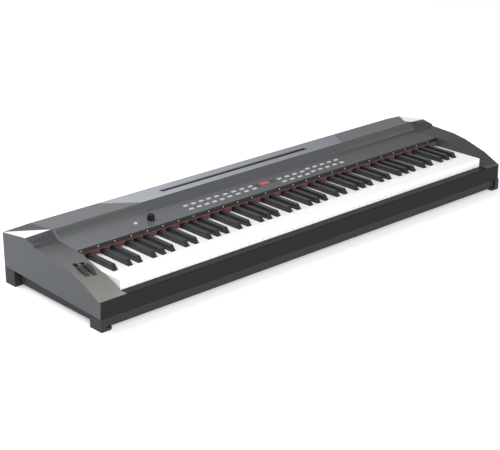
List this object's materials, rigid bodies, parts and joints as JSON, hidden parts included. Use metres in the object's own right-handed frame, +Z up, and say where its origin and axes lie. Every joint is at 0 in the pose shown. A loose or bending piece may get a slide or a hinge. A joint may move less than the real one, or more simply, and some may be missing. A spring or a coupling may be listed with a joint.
{
  "type": "digital piano",
  "caption": "Portable digital piano with hinged keys, angled speaker grilles, a control panel, two wheels and corner feet.",
  "frame": {"origin": "bottom centre of the whole instrument's box, on the floor plane under the feet", "axes": "+X to the player's right along the keys, +Y from the player to the rear, +Z up"},
  "size_m": [1.3491, 0.369, 0.1385],
  "materials": {
    "grey": "satin",
    "dark": "matte",
    "black": "matte",
    "ivory": "gloss",
    "ebony": "satin",
    "felt": "matte",
    "grille": "matte",
    "steel": "satin",
    "board": "satin",
    "rubber": "matte",
    "button": "satin",
    "window": "gloss"
  },
  "bodies": {
    "case": {"bottom_tray": "black", "left_end_block": "grey", "right_end_block": "grey", "front_rail": "dark", "top_case": "grey", "left_speaker_grille": "grille", "right_speaker_grille": "grille", "left_speaker": "dark", "right_speaker": "dark", "display_window": "window", "wheel_bracket": "black", "keybed_chassis": "steel", "felt_strip": "felt", "key_stop_rail": "felt", "contact_board": "board", "contact_strip": "rubber", "main_board": "board", "foot_front_left": "grey", "foot_front_right": "grey", "foot_rear_left": "grey", "foot_rear_right": "grey", "headphone_jack_left": "black", "headphone_jack_right": "black"},
    "white_keys_bass": {"white_keys_bass": "ivory"},
    "black_keys_bass": {"black_keys_bass": "ebony"},
    "white_keys_low": {"white_keys_low": "ivory"},
    "black_keys_low": {"black_keys_low": "ebony"},
    "white_keys_high": {"white_keys_high": "ivory"},
    "black_keys_high": {"black_keys_high": "ebony"},
    "white_keys_treble": {"white_keys_treble": "ivory"},
    "black_keys_treble": {"black_keys_treble": "ebony"},
    "key_c4": {"key_c4": "ivory"},
    "key_c4_sharp": {"key_c4_sharp": "ebony"},
    "key_d4": {"key_d4": "ivory"},
    "key_d4_sharp": {"key_d4_sharp": "ebony"},
    "key_e4": {"key_e4": "ivory"},
    "key_f4": {"key_f4": "ivory"},
    "key_f4_sharp": {"key_f4_sharp": "ebony"},
    "key_g4": {"key_g4": "ivory"},
    "key_g4_sharp": {"key_g4_sharp": "ebony"},
    "key_a4": {"key_a4": "ivory"},
    "key_a4_sharp": {"key_a4_sharp": "ebony"},
    "key_b4": {"key_b4": "ivory"},
    "button_row_1_rear": {"button_row_1_rear": "button"},
    "button_row_1_front": {"button_row_1_front": "button"},
    "button_row_2_rear": {"button_row_2_rear": "button"},
    "button_row_2_front": {"button_row_2_front": "button"},
    "button_row_3_rear": {"button_row_3_rear": "button"},
    "button_row_3_front": {"button_row_3_front": "button"},
    "button_row_4_rear": {"button_row_4_rear": "button"},
    "button_row_4_front": {"button_row_4_front": "button"},
    "power_button": {"power_button": "button"},
    "volume_knob": {"volume_knob": "dark"},
    "pitch_wheel": {"pitch_wheel": "rubber"},
    "modulation_wheel": {"modulation_wheel": "rubber"}
  },
  "joints": [
    {"name": "white_keys_bass_press", "type": "hinge", "parent": "case", "child": "white_keys_bass", "pos_m": [-0.5994, 0.0705, 0.0845], "axis": [1, 0, 0], "range_deg": [0, 2.5], "stiffness_Nm_per_rad": 9, "springref_deg": -17.19},
    {"name": "black_keys_bass_press", "type": "hinge", "parent": "case", "child": "black_keys_bass", "pos_m": [-0.5994, 0.0845, 0.0885], "axis": [1, 0, 0], "range_deg": [0, 2.8], "stiffness_Nm_per_rad": 4.8, "springref_deg": -17.19},
    {"name": "white_keys_low_press", "type": "hinge", "parent": "case", "child": "white_keys_low", "pos_m": [-0.5994, 0.0705, 0.0845], "axis": [1, 0, 0], "range_deg": [0, 2.5], "stiffness_Nm_per_rad": 14, "springref_deg": -17.19},
    {"name": "black_keys_low_press", "type": "hinge", "parent": "case", "child": "black_keys_low", "pos_m": [-0.5994, 0.0845, 0.0885], "axis": [1, 0, 0], "range_deg": [0, 2.8], "stiffness_Nm_per_rad": 8, "springref_deg": -17.19},
    {"name": "white_keys_high_press", "type": "hinge", "parent": "case", "child": "white_keys_high", "pos_m": [-0.5994, 0.0705, 0.0845], "axis": [1, 0, 0], "range_deg": [0, 2.5], "stiffness_Nm_per_rad": 14, "springref_deg": -17.19},
    {"name": "black_keys_high_press", "type": "hinge", "parent": "case", "child": "black_keys_high", "pos_m": [-0.5994, 0.0845, 0.0885], "axis": [1, 0, 0], "range_deg": [0, 2.8], "stiffness_Nm_per_rad": 8, "springref_deg": -17.19},
    {"name": "white_keys_treble_press", "type": "hinge", "parent": "case", "child": "white_keys_treble", "pos_m": [-0.5994, 0.0705, 0.0845], "axis": [1, 0, 0], "range_deg": [0, 2.5], "stiffness_Nm_per_rad": 8, "springref_deg": -17.19},
    {"name": "black_keys_treble_press", "type": "hinge", "parent": "case", "child": "black_keys_treble", "pos_m": [-0.5994, 0.0845, 0.0885], "axis": [1, 0, 0], "range_deg": [0, 2.8], "stiffness_Nm_per_rad": 4, "springref_deg": -17.19},
    {"name": "key_c4_press", "type": "hinge", "parent": "case", "child": "key_c4", "pos_m": [-0.5994, 0.0705, 0.0845], "axis": [1, 0, 0], "range_deg": [0, 2.5], "stiffness_Nm_per_rad": 1, "springref_deg": -17.19},
    {"name": "key_c4_sharp_press", "type": "hinge", "parent": "case", "child": "key_c4_sharp", "pos_m": [-0.5994, 0.0845, 0.0885], "axis": [1, 0, 0], "range_deg": [0, 2.8], "stiffness_Nm_per_rad": 0.8, "springref_deg": -17.19},
    {"name": "key_d4_press", "type": "hinge", "parent": "case", "child": "key_d4", "pos_m": [-0.5994, 0.0705, 0.0845], "axis": [1, 0, 0], "range_deg": [0, 2.5], "stiffness_Nm_per_rad": 1, "springref_deg": -17.19},
    {"name": "key_d4_sharp_press", "type": "hinge", "parent": "case", "child": "key_d4_sharp", "pos_m": [-0.5994, 0.0845, 0.0885], "axis": [1, 0, 0], "range_deg": [0, 2.8], "stiffness_Nm_per_rad": 0.8, "springref_deg": -17.19},
    {"name": "key_e4_press", "type": "hinge", "parent": "case", "child": "key_e4", "pos_m": [-0.5994, 0.0705, 0.0845], "axis": [1, 0, 0], "range_deg": [0, 2.5], "stiffness_Nm_per_rad": 1, "springref_deg": -17.19},
    {"name": "key_f4_press", "type": "hinge", "parent": "case", "child": "key_f4", "pos_m": [-0.5994, 0.0705, 0.0845], "axis": [1, 0, 0], "range_deg": [0, 2.5], "stiffness_Nm_per_rad": 1, "springref_deg": -17.19},
    {"name": "key_f4_sharp_press", "type": "hinge", "parent": "case", "child": "key_f4_sharp", "pos_m": [-0.5994, 0.0845, 0.0885], "axis": [1, 0, 0], "range_deg": [0, 2.8], "stiffness_Nm_per_rad": 0.8, "springref_deg": -17.19},
    {"name": "key_g4_press", "type": "hinge", "parent": "case", "child": "key_g4", "pos_m": [-0.5994, 0.0705, 0.0845], "axis": [1, 0, 0], "range_deg": [0, 2.5], "stiffness_Nm_per_rad": 1, "springref_deg": -17.19},
    {"name": "key_g4_sharp_press", "type": "hinge", "parent": "case", "child": "key_g4_sharp", "pos_m": [-0.5994, 0.0845, 0.0885], "axis": [1, 0, 0], "range_deg": [0, 2.8], "stiffness_Nm_per_rad": 0.8, "springref_deg": -17.19},
    {"name": "key_a4_press", "type": "hinge", "parent": "case", "child": "key_a4", "pos_m": [-0.5994, 0.0705, 0.0845], "axis": [1, 0, 0], "range_deg": [0, 2.5], "stiffness_Nm_per_rad": 1, "springref_deg": -17.19},
    {"name": "key_a4_sharp_press", "type": "hinge", "parent": "case", "child": "key_a4_sharp", "pos_m": [-0.5994, 0.0845, 0.0885], "axis": [1, 0, 0], "range_deg": [0, 2.8], "stiffness_Nm_per_rad": 0.8, "springref_deg": -17.19},
    {"name": "key_b4_press", "type": "hinge", "parent": "case", "child": "key_b4", "pos_m": [-0.5994, 0.0705, 0.0845], "axis": [1, 0, 0], "range_deg": [0, 2.5], "stiffness_Nm_per_rad": 1, "springref_deg": -17.19},
    {"name": "button_row_1_rear_press", "type": "slide", "parent": "case", "child": "button_row_1_rear", "axis": [0, 0.0683, -0.9977], "range_m": [0, 0.0006], "stiffness_N_per_m": 1500, "springref_m": -0.0006},
    {"name": "button_row_1_front_press", "type": "slide", "parent": "case", "child": "button_row_1_front", "axis": [0, 0.0683, -0.9977], "range_m": [0, 0.0006], "stiffness_N_per_m": 1500, "springref_m": -0.0006},
    {"name": "button_row_2_rear_press", "type": "slide", "parent": "case", "child": "button_row_2_rear", "axis": [0, 0.0683, -0.9977], "range_m": [0, 0.0006], "stiffness_N_per_m": 1500, "springref_m": -0.0006},
    {"name": "button_row_2_front_press", "type": "slide", "parent": "case", "child": "button_row_2_front", "axis": [0, 0.0683, -0.9977], "range_m": [0, 0.0006], "stiffness_N_per_m": 1500, "springref_m": -0.0006},
    {"name": "button_row_3_rear_press", "type": "slide", "parent": "case", "child": "button_row_3_rear", "axis": [0, 0.0683, -0.9977], "range_m": [0, 0.0006], "stiffness_N_per_m": 1500, "springref_m": -0.0006},
    {"name": "button_row_3_front_press", "type": "slide", "parent": "case", "child": "button_row_3_front", "axis": [0, 0.0683, -0.9977], "range_m": [0, 0.0006], "stiffness_N_per_m": 1500, "springref_m": -0.0006},
    {"name": "button_row_4_rear_press", "type": "slide", "parent": "case", "child": "button_row_4_rear", "axis": [0, 0.0683, -0.9977], "range_m": [0, 0.0006], "stiffness_N_per_m": 1500, "springref_m": -0.0006},
    {"name": "button_row_4_front_press", "type": "slide", "parent": "case", "child": "button_row_4_front", "axis": [0, 0.0683, -0.9977], "range_m": [0, 0.0006], "stiffness_N_per_m": 1500, "springref_m": -0.0006},
    {"name": "power_press", "type": "slide", "parent": "case", "child": "power_button", "axis": [0, 0.0683, -0.9977], "range_m": [0, 0.0008], "stiffness_N_per_m": 1500, "springref_m": -0.0006},
    {"name": "volume_turn", "type": "hinge", "parent": "case", "child": "volume_knob", "pos_m": [-0.3614, 0.0345, 0.11663], "axis": [0, -0.0683, 0.9977], "range_deg": [-150, 150]},
    {"name": "pitch_wheel_turn", "type": "hinge", "parent": "case", "child": "pitch_wheel", "pos_m": [-0.6254, -0.0735, 0.0835], "axis": [1, 0, 0], "range_deg": [-35, 35], "stiffness_Nm_per_rad": 0.05},
    {"name": "modulation_wheel_turn", "type": "hinge", "parent": "case", "child": "modulation_wheel", "pos_m": [-0.6449, -0.0735, 0.0835], "axis": [1, 0, 0], "range_deg": [-35, 35]}
  ]
}
